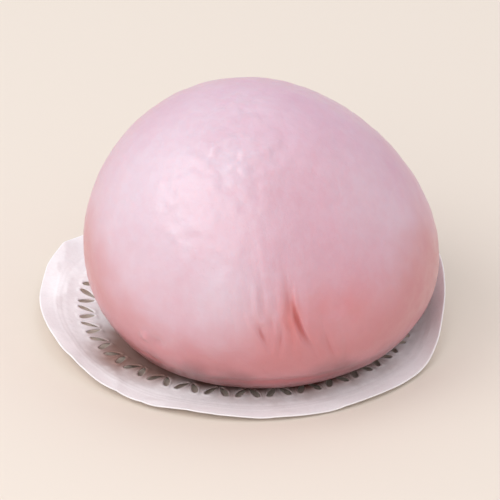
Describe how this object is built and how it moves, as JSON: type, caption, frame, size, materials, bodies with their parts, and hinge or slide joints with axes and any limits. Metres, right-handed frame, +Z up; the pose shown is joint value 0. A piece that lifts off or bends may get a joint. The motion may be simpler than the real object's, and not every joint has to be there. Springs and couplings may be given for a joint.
{
  "type": "taro bun",
  "caption": "Steamed taro bun: a smooth lilac dough dome with pleats low on its front, resting on a round lace paper.",
  "frame": {"origin": "the point of the paper's flat underside straight below the middle of the bun", "axes": "+Z up, +X to the right and +Y to the back as the picture sees the bun, whose pleats face -Y"},
  "size_m": [0.0763, 0.0792, 0.0494],
  "materials": {
    "lilac_dough": "satin steamed dough skin, lilac pink",
    "white_paper": "matte white lace paper"
  },
  "bodies": {
    "root": {"bun": "lilac_dough", "lace_paper": "white_paper"}
  },
  "joints": []
}
